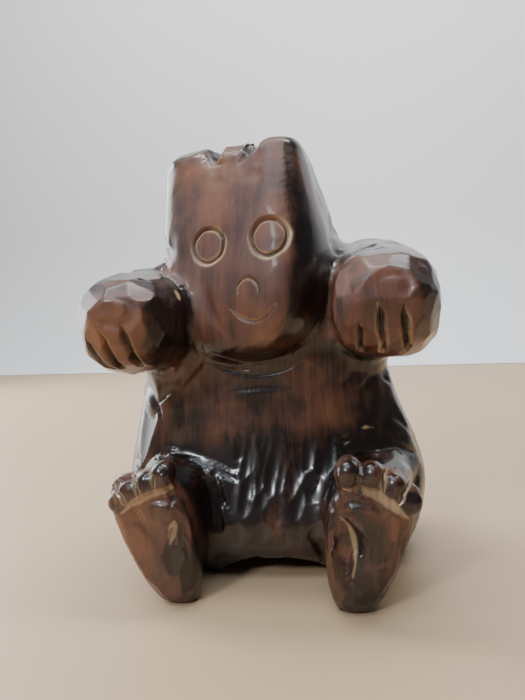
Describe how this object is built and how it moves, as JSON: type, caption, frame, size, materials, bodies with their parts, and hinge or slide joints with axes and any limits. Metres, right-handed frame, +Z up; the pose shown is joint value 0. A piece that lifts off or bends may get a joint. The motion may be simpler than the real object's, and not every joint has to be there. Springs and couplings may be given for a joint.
{
  "type": "carved wooden bear",
  "caption": "Seated bear carved from one block of dark stained wood, arms held out, soles to the front, standing on its heels and flat seat.",
  "frame": {"origin": "middle of the box's underside, on the table", "axes": "+X to the bear's left, -Y to its front, +Z up"},
  "size_m": [0.1848, 0.1592, 0.2381],
  "materials": {
    "wood": "very dark brown stain, paler in the cuts, under a glossy clear lacquer"
  },
  "bodies": {
    "root": {"bear": "wood"}
  },
  "joints": []
}
